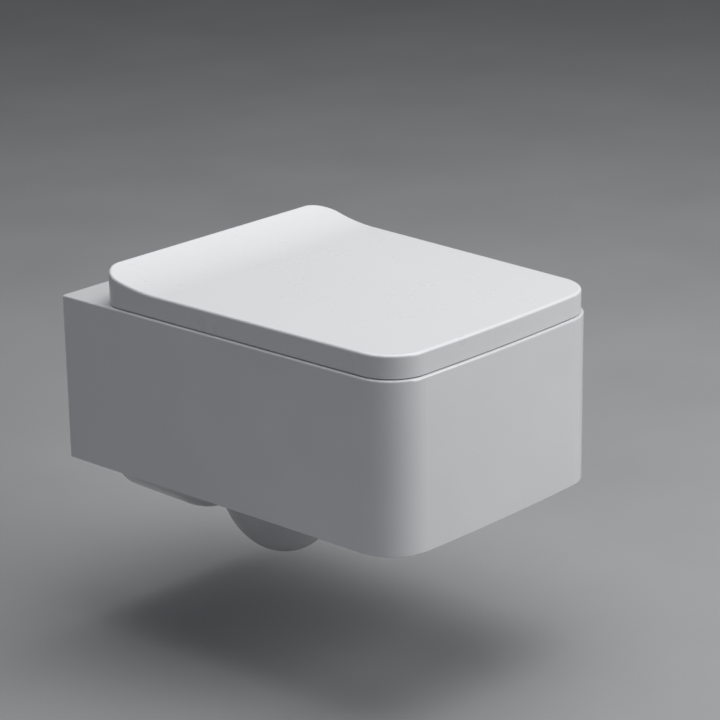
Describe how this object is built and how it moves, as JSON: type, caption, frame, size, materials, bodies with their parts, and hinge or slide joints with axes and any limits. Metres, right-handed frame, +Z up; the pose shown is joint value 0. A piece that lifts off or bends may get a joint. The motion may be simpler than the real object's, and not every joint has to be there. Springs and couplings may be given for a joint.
{
  "type": "wall hung toilet",
  "caption": "Square-fronted wall hung toilet pan with a wrap-over soft-close lid and seat on take-off hinges.",
  "frame": {"origin": "midway between the two wall studs, in the wall plane", "axes": "+Y into the wall along the studs, -Y to the front, +X to the right seen from the front, +Z up"},
  "size_m": [0.37, 0.492, 0.3677],
  "materials": {
    "pan_glaze": "glossy white glaze",
    "seat_duroplast": "satin white moulded duroplast",
    "lid_duroplast": "satin white moulded duroplast",
    "bumper_rubber": "soft pale grey",
    "gasket_rubber": "soft black",
    "hinge_chrome": "polished chrome on a zinc casting",
    "pillar_steel": "turned stainless steel",
    "spring_steel": "drawn spring wire",
    "zinc_steel": "zinc plated",
    "button_plastic": "satin grey",
    "damper_plastic": "dark grey moulded",
    "sleeve_plastic": "natural moulded",
    "nut_plastic": "white moulded"
  },
  "bodies": {
    "pan": {"ceramic_pan": "pan_glaze", "stud_sleeves": "sleeve_plastic", "stud_washers": "zinc_steel", "stud_nuts": "zinc_steel", "hinge_gaskets": "gasket_rubber", "hinge_washers": "gasket_rubber", "hinge_nuts": "nut_plastic", "hinge_plate_left": "hinge_chrome", "hinge_plate_right": "hinge_chrome", "hinge_pillar_left": "pillar_steel", "hinge_pillar_right": "pillar_steel"},
    "hinge_carriers": {"hinge_carrier_left": "hinge_chrome", "hinge_carrier_right": "hinge_chrome", "hinge_pin_left": "pillar_steel", "hinge_pin_right": "pillar_steel", "release_spring_left": "spring_steel", "release_spring_right": "spring_steel"},
    "seat": {"seat_ring": "seat_duroplast", "seat_bumpers": "bumper_rubber", "seat_damper": "damper_plastic", "seat_bush": "damper_plastic"},
    "lid": {"lid": "lid_duroplast", "lid_bumpers": "bumper_rubber", "lid_damper": "damper_plastic", "lid_bush": "damper_plastic"},
    "button_left": {"release_button_left": "button_plastic"},
    "button_right": {"release_button_right": "button_plastic"}
  },
  "joints": [
    {"name": "seat_lift_off", "type": "slide", "parent": "pan", "child": "hinge_carriers", "axis": [0, 0, 1], "range_m": [0, 0.06]},
    {"name": "seat_hinge", "type": "hinge", "parent": "hinge_carriers", "child": "seat", "pos_m": [0, -0.071, 0.1005], "axis": [-1, 0, 0], "range_deg": [0, 94]},
    {"name": "lid_hinge", "type": "hinge", "parent": "seat", "child": "lid", "pos_m": [0, -0.071, 0.1005], "axis": [1, 0, 0], "range_deg": [-96, 0]},
    {"name": "release_left", "type": "slide", "parent": "hinge_carriers", "child": "button_left", "axis": [0, 1, 0], "range_m": [0, 0.003], "stiffness_N_per_m": 300, "springref_m": -0.004, "deforming": ["release_spring_left"]},
    {"name": "release_right", "type": "slide", "parent": "hinge_carriers", "child": "button_right", "axis": [0, 1, 0], "range_m": [0, 0.003], "stiffness_N_per_m": 300, "springref_m": -0.004, "deforming": ["release_spring_right"]}
  ]
}
